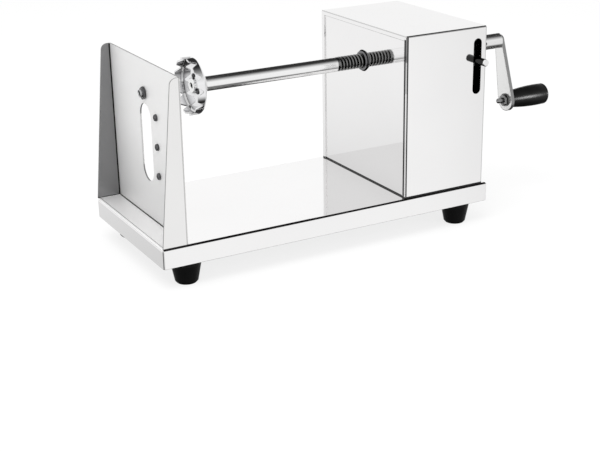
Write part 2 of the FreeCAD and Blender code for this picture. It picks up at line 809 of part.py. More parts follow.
def make_shaft():
    length = "shaft_end - shaft_start"
    step = "shaft_step - shaft_start"
    body = turned(
        [
            (0, "socket_depth + 1.2"),
            (0, length),
            ("journal_radius - 0.6", length),
            ("journal_radius", f"{length} - 0.6"),
            ("journal_radius", step),
            ("shaft_radius", step),
            ("shaft_radius", 0.8),
            ("shaft_radius - 0.8", 0),
            ("socket_radius + 0.8", 0),
            ("socket_radius", 0.8),
            ("socket_radius", "socket_depth"),
            (0.7, "socket_depth + 1.2"),
        ],
        "shaft_start",
        0,
        "shaft_height",
        X_AXIS,
    )
    over = value("shaft_radius") + 0.6
    root = value("thread_root")
    groove = thread_sweep(
        "thread_root",
        "shaft_radius + 0.6",
        groove_half(root),
        groove_half(over),
        "thread_start",
        "thread_length",
    )
    keep(less(body, [groove]), "main_shaft")


def make_half_nut():
    """A block under the shaft, cut by a slightly larger copy of the shaft's thread."""
    length = 19
    start = f"pin_x - {length} / 2 - 4"
    solid = block(length, 24, 11, start, -12, HALF_NUT_SEAT)
    reach = f"{HALF_NUT_TURNS} * thread_pitch"
    begin = f"thread_start + {HALF_NUT_OFFSET} * thread_pitch"
    core = rod(
        f"shaft_radius + {NUT_CLEARANCE}",
        f"({reach}) + 4 * thread_pitch",
        f"{begin} - 2 * thread_pitch",
        0,
        "shaft_height",
        X_AXIS,
    )
    low = value("thread_root") + NUT_CLEARANCE
    high = value("shaft_radius") + 2 * NUT_CLEARANCE
    groove = thread_sweep(
        f"thread_root + {NUT_CLEARANCE}",
        f"shaft_radius + 2 * {NUT_CLEARANCE}",
        groove_half(low) - FLANK_CLEARANCE,
        groove_half(high) - FLANK_CLEARANCE,
        begin,
        reach,
    )
    taps = [rod(HALF_NUT_SCREW, 8, "pin_x", y, f"{HALF_NUT_SEAT} - 2") for y in HALF_NUT_SCREW_Y]
    keep(less(solid, [less(core, [groove]), *taps]), "half_nut")


# Release lever

LEVER_LEFT = "pin_x - lever_bar / 2"
LEVER_RIGHT = "pin_x + lever_bar / 2"
HALF_NUT_SEAT = 121
HALF_NUT_SCREW = 1.5
HALF_NUT_SCREW_Y = [-8.5, 8.5]
SPRING_POST = 2.5
SPRING_POST_Z = "spring_high + 3.2"
SPRING_PIN_Z = "spring_low - 4.2"
SPRING_X = f"{LEVER_LEFT} - 4.6"
PIVOT_GAP = 0.3


def make_lever():
    eye = 10
    body = plate(
        "YZ_Plane",
        [
            ("pivot_y", f"pivot_z + {eye}", (f"pivot_y + {eye} * sqrt(0.5)", f"pivot_z + {eye} * sqrt(0.5)")),
            (f"pivot_y + {eye}", "pivot_z", (f"pivot_y + {eye} * sqrt(0.5)", f"pivot_z - {eye} * sqrt(0.5)")),
            ("pivot_y", f"pivot_z - {eye}"),
            (15, 107),
            (-15, 107),
            (-63, 134.5),
            (-80, 134.5),
            (-80, 151.5),
            (-67, 151.5),
            (-16, HALF_NUT_SEAT),
            (16, HALF_NUT_SEAT),
        ],
        "lever_bar",
        x=LEVER_LEFT,
    )
    before = f"{LEVER_LEFT} - 2"
    holes = [
        rod("pivot_radius + 0.06", 14, before, "pivot_y", "pivot_z", X_AXIS),
        rod(2, 14, before, "spring_y", SPRING_PIN_Z, X_AXIS),
        rod(2.5, 11, "pin_x", -81, "release_pin_z", Y_AXIS),
    ]
    holes += [rod(HALF_NUT_SCREW + 0.1, 20, "pin_x", y, 104) for y in HALF_NUT_SCREW_Y]
    keep(less(body, holes), "release_lever")
    screws = [pan_screw(HALF_NUT_SCREW, 2.8, 1.9, 18, "pin_x", y, 107, Z_AXIS) for y in HALF_NUT_SCREW_Y]
    keep(group(screws), "half_nut_screws")


def make_release_pin():
    reach = "box_half + release_pin_reach"
    pin = turned(
        [
            (0, 0),
            ("release_pin_radius - 0.9", 0),
            ("release_pin_radius", 0.9),
            ("release_pin_radius", f"{reach} - 80"),
            (2.5, f"{reach} - 80"),
            (2.5, f"{reach} - 71"),
            (2, f"{reach} - 70.5"),
            (0, f"{reach} - 70.5"),
        ],
        "pin_x",
        f"-({reach})",
        "release_pin_z",
        Y_AXIS,
    )
    keep(pin, "release_pin")


def make_pivot():
    face = RIGHT_FACE
    spacer = f"{face} - right_wall"
    gap = PIVOT_GAP
    at = ("pivot_y", "pivot_z")
    head = hexagon(13, 4.5, face, *at, X_AXIS)
    shank = rod("pivot_radius", "26", f"{face} - 26", *at, X_AXIS)
    keep(joined([head, shank]), "pivot_bolt")
    thickness = f"({spacer}) - ({LEVER_RIGHT}) - {gap}"
    keep(washer(7.5, thickness, "pivot_radius", f"{LEVER_RIGHT} + {gap}", *at, X_AXIS), "pivot_spacer")
    keep(washer(8.5, 1.5, "pivot_radius", f"{LEVER_LEFT} - {gap}", *at, X_BACK), "pivot_washer")
    keep(nut(13, 6.5, "pivot_radius", f"{LEVER_LEFT} - {gap} - 1.5", *at, X_BACK), "pivot_lock_nut")


def make_spring():
    inner = f"{RIGHT_FACE} - right_wall"
    post = ("spring_y", SPRING_POST_Z)
    screw = pan_screw(SPRING_POST, 4.6, 3.2, f"({RIGHT_FACE}) - ({SPRING_X}) + 5.5", RIGHT_FACE, *post, X_BACK)
    keep(screw, "spring_post")
    keep(nut(8, 3.2, SPRING_POST, inner, *post, X_BACK), "spring_post_nut")
    length = f"({LEVER_RIGHT}) - ({SPRING_X}) + 5"
    keep(rod(2, length, f"{SPRING_X} - 5", "spring_y", SPRING_PIN_Z, X_AXIS), "spring_pin")
    helix = doc.addObject("Part::Helix", "spring_line")
    bind(helix, Pitch="spring_pitch", Height="spring_high - spring_low", Radius="spring_radius")
    put(helix, SPRING_X, "spring_y", "spring_low")
    wire = doc.addObject("Part::Circle", "spring_section")
    bind(wire, Radius="spring_wire")
    put(wire, f"{SPRING_X} + spring_radius", "spring_y", "spring_low", Y_BACK)
    sweep = doc.addObject("Part::Sweep", "spring")
    sweep.Sections = [wire]
    sweep.Spine = helix
    sweep.Solid = True
    sweep.Frenet = True
    keep(sweep, "return_spring")


# Potato disc

TOOTH_COUNT = 12
TOOTH_GAP = 5.2
DISC_SCREW = 1.5


def make_disc():
    body = turned(
        [
            ("shaft_radius", 0),
            ("disc_radius - 3", 0, ("disc_radius - 3 * (1 - sqrt(0.5))", "3 * (1 - sqrt(0.5))")),
            ("disc_radius", 3),
            ("disc_radius", "disc_depth"),
            ("disc_radius - disc_sheet", "disc_depth"),
            ("disc_radius - disc_sheet", "disc_sheet + 1.5"),
            ("disc_radius - disc_sheet - 1.5", "disc_sheet"),
            ("shaft_radius", "disc_sheet"),
        ],
        "disc_back",
        0,
        "shaft_height",
        X_BACK,
    )
    notch = body.newObject("PartDesign::Pocket", "tooth_gap")
    notch.Profile = outline(
        body,
        "XZ_Plane",
        [
            (-TOOTH_GAP, "disc_depth + 0.5"),
            (-0.8, "disc_sheet + 2.6"),
            (0.8, "disc_sheet + 2.6"),
            (TOOTH_GAP, "disc_depth + 0.5"),
        ],
    )
    bind(notch, Length="disc_radius + 3")
    body.Tip = notch
    doc.recompute()
    pattern = body.newObject("PartDesign::PolarPattern", "tooth_gaps")
    pattern.Originals = [notch]
    pattern.Axis = (plane_of(body, "Z_Axis"), [""])
    pattern.Angle = 360
    pattern.Occurrences = TOOTH_COUNT
    body.Tip = pattern
    around = "(shaft_radius + disc_hub_radius) / 2"
    places = [(f"{around} * cos({angle})", f"shaft_height + {around} * sin({angle})") for angle in (90, 210, 330)]
    holes = [rod(DISC_SCREW, 8, "disc_back - 4", y, z, X_AXIS) for y, z in places]
    keep(less(body, holes), "potato_disc")
    hub = turned(
        [
            ("shaft_radius", 0),
            ("disc_hub_radius", 0),
            ("disc_hub_radius", "disc_hub_length - 0.8"),
            ("disc_hub_radius - 0.8", "disc_hub_length"),
            ("shaft_radius", "disc_hub_length"),
        ],
        "disc_back",
        0,
        "shaft_height",
        X_AXIS,
    )
    taps = [rod(DISC_SCREW, 7, "disc_back - 1", y, z, X_AXIS) for y, z in places]
    middle = "disc_back + disc_hub_length / 2"
    taps.append(rod(2, 20, middle, 0, "shaft_height", Y_BACK))
    keep(less(hub, taps), "disc_hub")
    face = "disc_back - disc_sheet"
    keep(group([pan_screw(DISC_SCREW, 2.4, 1.5, 7, face, y, z, X_AXIS) for y, z in places]), "disc_screws")
    grub = rod(2, "disc_hub_radius - shaft_radius - 0.3", middle, "-shaft_radius", "shaft_height", Y_BACK)
    keep(less(grub, [hexagon(2, 2, middle, "-disc_hub_radius - 0.5", "shaft_height", Y_AXIS)]), "disc_set_screw")


# Crank

HANDLE_Y = "-crank_radius * sin(crank_tilt)"
HANDLE_Z = "shaft_height - crank_radius * cos(crank_tilt)"
ARM_BACK = "shaft_end - arm_sheet"
BOLT_TIP = 12.5
HEAD_SEAT = 42.6
GRIP_GAP = 1.5
WASHER_HEIGHT = 1.0
NUT_HEIGHT = 3.2


def make_crank():
    hub_length = f"({ARM_BACK}) - shaft_step"
    hub = turned(
        [
            ("journal_radius", 0),
            ("hub_radius - 0.6", 0),
            ("hub_radius", 0.6),
            ("hub_radius", hub_length),
            ("journal_radius", hub_length),
        ],
        "shaft_step",
        0,
        "shaft_height",
        X_AXIS,
    )
    grub_x = "shaft_step + 6"
    keep(less(hub, [rod(2, 20, grub_x, 0, "shaft_height", Y_BACK)]), "crank_hub")
    grub = rod(2, "hub_radius - journal_radius - 0.3", grub_x, "-journal_radius", "shaft_height", Y_BACK)
    keep(less(grub, [hexagon(2, 2, grub_x, "-hub_radius - 0.9", "shaft_height", Y_AXIS)]), "hub_set_screw")
    lean = "asin((arm_tip_radius - arm_head_radius) / crank_radius)"
    head_side = f"arm_head_radius * cos({lean})"
    head_level = f"arm_head_radius * sin({lean})"
    tip_side = f"arm_tip_radius * cos({lean})"
    tip_level = f"arm_tip_radius * sin({lean}) - crank_radius"
    arm = plate(
        "YZ_Plane",
        [
            (head_side, head_level, (0, "arm_head_radius")),
            (f"-{head_side}", head_level),
            (f"-{tip_side}", tip_level, (0, "-crank_radius - arm_tip_radius")),
            (tip_side, tip_level),
        ],
        "arm_sheet",
        ARM_BACK,
        0,
        "shaft_height",
        turn=FreeCAD.Rotation(FreeCAD.Vector(1, 0, 0), -value("crank_tilt")),
    )
    holes = [
        rod("journal_radius", 8, f"{ARM_BACK} - 2", 0, "shaft_height", X_AXIS),
        rod("handle_thread", 8, f"{ARM_BACK} - 2", HANDLE_Y, HANDLE_Z, X_AXIS),
    ]
    keep(less(arm, holes), "crank_arm")


def make_handle():
    at = (HANDLE_Y, HANDLE_Z)
    shoulder = BOLT_TIP + value("arm_sheet")
    head = shoulder + HEAD_SEAT
    bolt = turned(
        [
            (0, 0, (1.6, 0.45)),
            ("handle_thread", 2),
            ("handle_thread", shoulder),
            ("handle_pin", shoulder),
            ("handle_pin", head),
            (6.4, head),
            (6.4, head + 3.2),
            (5.6, head + 4),
            (0, head + 4),
        ],
        f"{ARM_BACK} - {BOLT_TIP}",
        *at,
        X_AXIS,
    )
    socket = hexagon(5, 3, f"{ARM_BACK} - {BOLT_TIP} + {head + 1.2}", *at, X_AXIS)
    keep(less(bolt, [socket]), "handle_bolt")
    keep(washer(7.8, WASHER_HEIGHT, "handle_thread", ARM_BACK, *at, X_BACK), "handle_washer")
    keep(nut(12, NUT_HEIGHT, "handle_thread", f"{ARM_BACK} - {WASHER_HEIGHT}", *at, X_BACK), "handle_nut")
    keep(washer(7.4, 1.2, "handle_pin", "shaft_end", *at, X_AXIS), "grip_washer")
    recess = 7.2
    floor = HEAD_SEAT - GRIP_GAP - 0.3
    grip = turned(
        [
            ("grip_bore", 0),
            (9.0, 0),
            (9.7, 0.8, (11.8, 18)),
            (12.6, 34, (12.6, 42)),
            (12.3, "grip_length - 3", (12.0, "grip_length - 0.9")),
            (10.8, "grip_length"),
            (recess, "grip_length"),
            (recess, floor),
            ("grip_bore", floor),
        ],
        f"shaft_end + {GRIP_GAP}",
        *at,
        X_AXIS,
    )
    keep(grip, "handle_grip")


def spring_self_gap():
    """The least distance between neighbouring turns of the return spring's wire."""
    pitch = value("spring_pitch")
    around = 2 * math.pi * value("spring_radius")
    apart = pitch * around / math.hypot(pitch, around)
    return apart - 2 * value("spring_wire")


def check_and_write():
    doc.recompute()
    for item in doc.Objects:
        if {"Invalid", "Error"} & set(item.State):
            raise RuntimeError(f"{item.Name} ({item.Label}) failed: {item.State}")
        if item.TypeId == "PartDesign::Pocket" and item.Shape.Volume > item.BaseFeature.Shape.Volume - 0.1:
            raise RuntimeError(f"{item.Name} removes nothing")
    names = [item.Label for item in sub_parts]
    if len(names) != len(set(names)):
        raise RuntimeError("two pieces share a name")
    os.makedirs("parts", exist_ok=True)
    for item in sub_parts:
        shape = item.Shape
        if shape.isNull() or not shape.isValid() or not shape.Solids:
            raise RuntimeError(f"{item.Label} has no valid solid")
        shape.exportStep(os.path.join("parts", f"{item.Label}.step"))
        print(f"{item.Label}: {len(shape.Solids)} solid(s), {shape.Volume:.1f} mm3")
    print(f"{len(sub_parts)} nodes, spring gap {spring_self_gap():.2f} mm")


make_tray()
make_feet()
make_blade_bracket()
make_blade()
make_skewer_guide()
make_cover()
make_end_plates()
make_bearings()
make_shaft()
make_half_nut()
make_lever()
make_release_pin()
make_pivot()
make_spring()
make_disc()
make_crank()
make_handle()
check_and_write()
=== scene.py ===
import math

import bpy
from mathutils import Matrix, Vector


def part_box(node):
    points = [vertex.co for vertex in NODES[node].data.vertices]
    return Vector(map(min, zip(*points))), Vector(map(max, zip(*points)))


# Hand cranked spiral potato cutter: mirror polished sheet steel on a white studio floor.
# Lengths are metres in the row frame. mm() turns machine millimetres into it:
# x from the tray's blade end, y from the shaft's plane, z from the tray's top.

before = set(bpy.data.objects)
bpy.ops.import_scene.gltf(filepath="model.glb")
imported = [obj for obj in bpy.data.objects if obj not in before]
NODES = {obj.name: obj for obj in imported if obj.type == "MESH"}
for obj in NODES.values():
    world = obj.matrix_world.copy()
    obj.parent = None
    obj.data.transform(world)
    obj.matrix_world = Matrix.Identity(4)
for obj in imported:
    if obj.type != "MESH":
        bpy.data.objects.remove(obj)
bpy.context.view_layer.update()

# The machine's zero in the row frame, and its main dimensions, in millimetres

BLADE_END_X = -268.6
SHAFT_PLANE_Y = 6.5
TRAY_TOP_Z = 45.2
SHAFT_HEIGHT = 137.1
PLATE_FACE = 27.1
FLANGE_INSIDE = 90.85
BOX_TOP = 179.95


def mm(x, y, z):
    return Vector(((x + BLADE_END_X) / 1000, (y + SHAFT_PLANE_Y) / 1000, (z + TRAY_TOP_Z) / 1000))


def machine_box(x0, x1, y0, y1, z0, z1):
    return (mm(x0, y0, z0), mm(x1, y1, z1))


# Camera, at the place solved from the photograph's edges

AZIMUTH = math.radians(28.742)
ELEVATION = math.radians(20.767)
ROLL = math.radians(-1.021)
LENS = 74.29
SENSOR_WIDTH = 36
FAR_CLIP = 50
CAMERA_PLACE = (-0.69777, -1.15290, 0.50195)


def make_camera():
    ahead = Vector((
        math.sin(AZIMUTH) * math.cos(ELEVATION),
        math.cos(AZIMUTH) * math.cos(ELEVATION),
        -math.sin(ELEVATION),
    ))
    level_right = Vector((math.cos(AZIMUTH), -math.sin(AZIMUTH), 0))
    level_up = level_right.cross(ahead)
    right = math.cos(ROLL) * level_right + math.sin(ROLL) * level_up
    up = -math.sin(ROLL) * level_right + math.cos(ROLL) * level_up
    data = bpy.data.cameras.new("camera")
    data.lens = LENS
    data.sensor_width = SENSOR_WIDTH
    data.sensor_fit = "HORIZONTAL"
    data.clip_end = FAR_CLIP
    camera = bpy.data.objects.new("camera", data)
    turn = Matrix((right, up, -ahead)).transposed().to_4x4()
    camera.matrix_world = Matrix.Translation(CAMERA_PLACE) @ turn
    bpy.context.scene.collection.objects.link(camera)
    bpy.context.scene.camera = camera


make_camera()


# Node tree helpers


class Tree:
    """A short way to write shader nodes: sockets and numbers are passed alike."""

    def __init__(self, owner):
        owner.use_nodes = True
        self.nodes = owner.node_tree.nodes
        self.links = owner.node_tree.links
        self.nodes.clear()

    def add(self, kind, output=0, **inputs):
        """One output of a new node. An input is a setting, a socket's name, or i and a socket's number."""
        node = self.nodes.new(kind)
        for name, thing in inputs.items():
            if hasattr(node, name):
                setattr(node, name, thing)
                continue
            key = int(name[1:]) if name[0] == "i" and name[1:].isdigit() else name.replace("_", " ")
            self.feed(node.inputs[key], thing)
        return node.outputs[output]

    def feed(self, socket, thing):
        if isinstance(thing, bpy.types.NodeSocket):
            self.links.new(thing, socket)
        else:
            socket.default_value = thing

    def deliver(self, shader, kind="ShaderNodeOutputMaterial"):
        """Links the finished shader to the tree's output."""
        self.links.new(shader, self.nodes.new(kind).inputs[0])

    def math(self, operation, first, second=0.0, third=0.0):
        return self.add("ShaderNodeMath", operation=operation, i0=first, i1=second, i2=third)

    def ramp(self, factor, low, high, start, end):
        """A smooth step from low, where factor is at start, to high, where it is at end."""
        return self.add(
            "ShaderNodeMapRange",
            interpolation_type="SMOOTHSTEP",
            i0=factor,
            i1=start,
            i2=end,
            i3=low,
            i4=high,
        )

    def mix(self, factor, first, second):
        node = self.nodes.new("ShaderNodeMix")
        node.data_type = "RGBA"
        for index, thing in ((0, factor), (6, first), (7, second)):
            self.feed(node.inputs[index], thing)
        return node.outputs[2]

    def noise(self, coordinates, scale, detail, stretch=(1, 1, 1)):
        mapped = self.add("ShaderNodeMapping", Vector=coordinates, Scale=stretch)
        return self.add("ShaderNodeTexNoise", Vector=mapped, Scale=scale, Detail=detail, Roughness=0.5)


def grey(level):
    return (level, level, level, 1.0)


def inside(tree, place, box):
    """1 inside a box (low corner, high corner) of the machine, else 0."""
    result = None
    for axis in range(3):
        centre = (box[0][axis] + box[1][axis]) / 2
        half = (box[1][axis] - box[0][axis]) / 2
        within = tree.math("COMPARE", place[axis], centre, half)
        result = within if result is None else tree.math("MULTIPLY", result, within)
    return result


def any_of(tree, masks):
    result = masks[0]
    for mask in masks[1:]:
        result = tree.math("MAXIMUM", result, mask)
    return result


# Materials

# The colour that painted shade, painted dark lines and patches of wear mix towards
DARK_METAL = grey(0.012)
PATCH_SCALE = 14.0
PATCH_DARKNESS = 0.04
WAVE_SCALE = 5.0
GRAIN_HEIGHT = 0.02
LEAST_ROUGHNESS = 0.02
DULL_ROUGHNESS = 0.5
DULL_LOSS = 0.4
SHARP_BEND = 0.86
FLAT_BEND = 0.99
CROWDED = 0.25
DUST_GAIN = 1.8
DUST_LIFT = 0.002


def steel(
    name,
    colour,
    roughness,
    spread=0.04,
    grain=(1, 1, 1),
    grain_scale=900.0,
    bump=0.02,
    wave=0.0,
    edge=0.0005,
    edge_shade=0.45,
    shade=0.0,
    shade_reach=0.05,
    lines=(),
    dull=(),
    metal=1.0,
    tint=None,
):
    """Bare metal: a fine grain, patches of wear in the roughness, painted shade along the sharp edges and
    painted dark lines at folds and seams.

    grain is how much closer the grain lies along each axis.
    wave, if given, is the slow unevenness of thin sheet.
    outline is how dark the sharp edges are painted, as painted shade along them.
    shade is how dark the metal turns within shade_reach of other faces.
    lines are (box of the machine, darkness) where the sheet is painted dark: painted shade in gaps and where
    parts meet, and painted reflection along folds.
    dull are boxes of the machine where the polish is gone.
    metal is how much of the light comes back as a reflection; the rest is scattered by fine scratches.
    tint, if given, takes the tree and the object coordinates and returns a factor towards black.
    """
    material = bpy.data.materials.new(name)
    tree = Tree(material)
    coordinates = tree.add("ShaderNodeTexCoord", output=3)
    fine = tree.noise(coordinates, grain_scale, 3.0, grain)
    broad = tree.noise(coordinates, PATCH_SCALE, 3.0)
    rough = tree.math("MULTIPLY_ADD", fine, spread, roughness - spread / 2)
    rough = tree.math("MULTIPLY_ADD", broad, spread, tree.math("SUBTRACT", rough, spread / 2))
    rough = tree.math("MAXIMUM", rough, LEAST_ROUGHNESS)
    place = tree.add("ShaderNodeSeparateXYZ", Vector=coordinates).node.outputs
    polish = metal
    if dull:
        worn_place = any_of(tree, [inside(tree, place, box) for box in dull])
        rough = tree.math("MAXIMUM", rough, tree.math("MULTIPLY", worn_place, DULL_ROUGHNESS))
        polish = tree.math("MULTIPLY_ADD", worn_place, -DULL_LOSS, metal)
    height = fine
    if wave:
        slow = tree.noise(coordinates, WAVE_SCALE, 1.0)
        height = tree.math("MULTIPLY_ADD", slow, wave, tree.math("MULTIPLY", fine, GRAIN_HEIGHT))
    soft = tree.add("ShaderNodeBevel", samples=6, Radius=edge)
    flat = tree.add("ShaderNodeNewGeometry", output=1)
    bend = tree.add("ShaderNodeVectorMath", output=1, operation="DOT_PRODUCT", i0=soft, i1=flat)
    # Painted shade: the sharp edges are painted towards black.
    rim = tree.ramp(bend, edge_shade, 0.0, SHARP_BEND, FLAT_BEND)
    normal = tree.add("ShaderNodeBump", Strength=bump, Distance=0.001, Height=height, Normal=soft)
    darks = [rim, tree.math("MULTIPLY", broad, PATCH_DARKNESS)]
    if shade:
        open_air = tree.add("ShaderNodeAmbientOcclusion", output=1, samples=8, Distance=shade_reach)
        darks.append(tree.ramp(open_air, shade, 0.0, CROWDED, 1.0))
    # Painted shade and painted reflection: the dark lines of the folds, seams and feet are painted in.
    darks += [tree.math("MULTIPLY", inside(tree, place, box), level) for box, level in lines]
    if tint:
        darks.append(tint(tree, place))
    tree.deliver(tree.add(
        "ShaderNodeBsdfPrincipled",
        Base_Color=tree.mix(any_of(tree, darks), (*colour, 1.0), DARK_METAL),
        Metallic=polish,
        Roughness=rough,
        Normal=normal,
    ))
    return material


def moulded(name, colour, roughness, texture_scale, texture_depth, gloss, spread=0.1, edge=0.0004):
    """Rubber or plastic: a moulded skin with fine pits, slightly uneven gloss and softened edges."""
    material = bpy.data.materials.new(name)
    tree = Tree(material)
    coordinates = tree.add("ShaderNodeTexCoord", output=3)
    pits = tree.noise(coordinates, texture_scale, 4.0)
    broad = tree.noise(coordinates, 60.0, 2.0)
    soft = tree.add("ShaderNodeBevel", samples=4, Radius=edge)
    dusty = tuple(min(1.0, channel * DUST_GAIN + DUST_LIFT) for channel in colour)
    tree.deliver(tree.add(
        "ShaderNodeBsdfPrincipled",
        Base_Color=tree.mix(broad, (*colour, 1.0), (*dusty, 1.0)),
        Roughness=tree.math("MULTIPLY_ADD", broad, spread, roughness - spread / 2),
        Normal=tree.add("ShaderNodeBump", Strength=texture_depth, Distance=0.0004, Height=pits, Normal=soft),
        Specular_IOR_Level=gloss,
    ))
    return material


# Painted dark lines at the folds, seams and feet: painted shade in the gaps and where parts meet, painted
# reflection along the bends. A box of the machine, and how dark the sheet is painted in it

SKIRT_CORNERS = [
    (machine_box(*along, *across, -22, -0.6), 0.8)
    for along in ((-0.1, 1.1), (398.9, 400.1))
    for across in ((-92.4, -91.0), (91.0, 92.4))
]
TRAY_LINES = SKIRT_CORNERS + [
    (machine_box(1.5, 398.5, -92.4, -90.2, -1.6, 0.2), 0.97),
    (machine_box(1.5, 398.5, 90.2, 92.4, -1.6, 0.2), 0.9),
    (machine_box(398.7, 400.1, -91, 91, -1.4, 0.2), 0.9),
    (machine_box(2.8, 3.7, -91, 91, -0.2, 0.2), 0.6),
    (machine_box(26.3, PLATE_FACE, -90, 90, -0.2, 0.2), 0.9),
]
BRACKET_LINES = [
    (machine_box(26.2, 27.2, -93, -91.6, 0, 173), 0.35),
    (machine_box(25.6, 27.2, 90.4, 91.2, 0, 172), 0.99),
    (machine_box(-1, 30, -93, 93, -0.1, 1.1), 0.95),
]
COVER_HEM_LINES = [
    (machine_box(289.6, 289.8, -87.6, -84.6, -1, 176), 0.97),
    (machine_box(290.3, 292.1, -89.6, -89.0, -1, 179), 0.96),
    (machine_box(289.6, 290.3, -89.6, -87.6, 152, 179), 0.75),
    (machine_box(289.6, 290.3, -89.6, -87.6, 118, 152), 0.35),
    (machine_box(392.6, 393.7, -89.5, -88.9, -1, 180), 0.35),
    (machine_box(289.6, 289.8, -84, 84, 173.6, 174.9), 0.35),
    (machine_box(289.6, 290.4, -88, 88, 178.6, 179.6), 0.35),
]
COVER_FOOT_LINES = [
    (machine_box(289.6, 393.7, -89.45, -88.9, -0.1, 1.3), 0.97),
    (machine_box(289.6, 393.7, 88.9, 89.45, -0.1, 1.3), 0.9),
    (machine_box(289.6, 289.8, -90, 90, -0.1, 1.6), 0.97),
    (machine_box(393.5, 393.7, -90, 90, -0.1, 1.0), 0.9),
]
COVER_TOP_LINES = [
    (machine_box(290.2, 393.2, -89.6, -88.4, 178.3, BOX_TOP), 0.62),
    (machine_box(290.2, 393.2, 88.0, 89.4, 178.6, BOX_TOP), 0.75),
]
COVER_LINES = COVER_HEM_LINES + COVER_FOOT_LINES + COVER_TOP_LINES
END_PLATE_LINES = [
    (machine_box(288, 294, -88, 88, -0.1, 1.7), 0.97),
]
CHANNEL_FLOOR = [machine_box(-0.2, 27.2, -91.5, 91.5, -1, 1)]

# Painted shade on the thread: near black in the grooves, darker on the crests
THREADED = machine_box(254.5, 441.5, -9, 9, 128, 146)
GROOVE_RADIUS = 0.0064
CREST_RADIUS = 0.0079
GROOVE_DARKNESS = 0.98
CREST_DARKNESS = 0.8
# Painted shade on the bracket plate, fading out by this height
FOOT_SHADE_TOP = 120
FOOT_SHADE_DARKNESS = 0.2


def painted_thread_shade(tree, place):
    """The thread's grooves are painted near black as painted shade, and the whole threaded stretch is painted
    darker than the plain bar.
    """
    axis = mm(0, 0, SHAFT_HEIGHT)
    across = tree.math("SUBTRACT", place[1], axis.y)
    up = tree.math("SUBTRACT", place[2], axis.z)
    squares = tree.math("ADD", tree.math("MULTIPLY", across, across), tree.math("MULTIPLY", up, up))
    depth = tree.ramp(tree.math("SQRT", squares), GROOVE_DARKNESS, 0.0, GROOVE_RADIUS, CREST_RADIUS)
    threaded = inside(tree, place, THREADED)
    return tree.math("MULTIPLY", threaded, tree.math("MAXIMUM", depth, CREST_DARKNESS))


def painted_foot_shade(tree, place):
    """The plate is painted darker towards its foot, as painted shade."""
    return tree.ramp(place[2], FOOT_SHADE_DARKNESS, 0.0, mm(0, 0, 0).z, mm(0, 0, FOOT_SHADE_TOP).z)


SHEET = (0.945, 0.94, 0.94)
BLACK = (0.001, 0.001, 0.001)

MATERIALS = {
    "tray": steel("tray_steel", SHEET, 0.06, bump=0.05, wave=0.4, lines=TRAY_LINES, dull=CHANNEL_FLOOR),
    "bracket": steel(
        "bracket_steel", (0.88, 0.875, 0.87), 0.10, bump=0.05, wave=0.3, shade=0.3, lines=BRACKET_LINES,
    ),
    # The plate's steel is painted darker towards its foot as painted shade.
    "bracket_plate": steel(
        "bracket_plate_steel",
        (0.83, 0.828, 0.825),
        0.4,
        bump=0.05,
        shade=0.1,
        lines=BRACKET_LINES,
        metal=0.35,
        tint=painted_foot_shade,
    ),
    # Painted shade: a dark grey copy of the bracket's steel for the far flange's inside
    "bracket_shaded_inside": steel(
        "bracket_shaded_inside_steel", (0.29, 0.29, 0.294), 0.3, bump=0.05, wave=0.4, shade=0.15, lines=BRACKET_LINES,
    ),
    "cut_edge": steel("cut_edge_steel", (0.3, 0.3, 0.3), 0.35, bump=0.1),
    "cover": steel("cover_steel", SHEET, 0.06, bump=0.04, wave=0.4, shade=0.1, lines=COVER_LINES),
    "end_plate": steel("end_plate_steel", SHEET, 0.05, bump=0.04, wave=0.4, shade=0.1, lines=END_PLATE_LINES),
    "blade": steel("blade_steel", (0.78, 0.79, 0.8), 0.2, grain=(1, 1, 30), bump=0.25),
    # The shaft's thread carries painted shade.
    "shaft": steel(
        "shaft_steel", (0.93, 0.93, 0.93), 0.08, grain=(30, 1, 1), bump=0.03, edge_shade=0, tint=painted_thread_shade,
    ),
    "disc": steel("disc_chrome", (0.88, 0.88, 0.89), 0.05, bump=0.03, wave=0.2, shade=0.8, shade_reach=0.012),
    "crank": steel(
        "crank_steel", (0.88, 0.88, 0.875), 0.12, grain=(1, 1, 25), bump=0.05, edge=0.002, edge_shade=0.85,
    ),
    "hub": steel("hub_steel", (0.88, 0.88, 0.88), 0.07, grain=(30, 1, 1), bump=0.03),
    "turned": steel("turned_steel", (0.7, 0.705, 0.715), 0.22, grain=(40, 1, 1), bump=0.12, shade=0.5),
    "screw": steel(
        "screw_steel", (0.13, 0.13, 0.135), 0.1, bump=0.1, edge_shade=0.95, shade=0.97, shade_reach=0.004,
    ),
    "handle_steel": steel("handle_steel", (0.3, 0.3, 0.3), 0.1, edge_shade=0.95, shade=0.97, shade_reach=0.003),
    "pin": steel("pin_steel", (0.93, 0.93, 0.93), 0.1, bump=0.05, edge_shade=0.2),
    # Painted shade: a near black copy of the pin's steel for its sides
    "pin_shaded_side": steel("pin_shaded_side_steel", (0.03, 0.03, 0.03), 0.2, bump=0.05),
    "lever": steel("lever_steel", (0.16, 0.165, 0.17), 0.38, bump=0.3, shade=0.5),
    "bronze": steel("turned_bronze", (0.62, 0.42, 0.2), 0.25, grain=(40, 1, 1), bump=0.12, shade=0.5),
    "bearing": steel("bearing_steel", (0.24, 0.24, 0.25), 0.14, bump=0.04, shade=0.8, shade_reach=0.01),
    "spring": steel("spring_steel", (0.5, 0.505, 0.52), 0.25, bump=0.1, shade=0.4),
    "rubber": moulded("foot_rubber", BLACK, 0.5, 1400.0, 0.35, gloss=0.12),
    "grip": moulded("grip_plastic", BLACK, 0.3, 900.0, 0.02, gloss=0.1, spread=0.03),
}

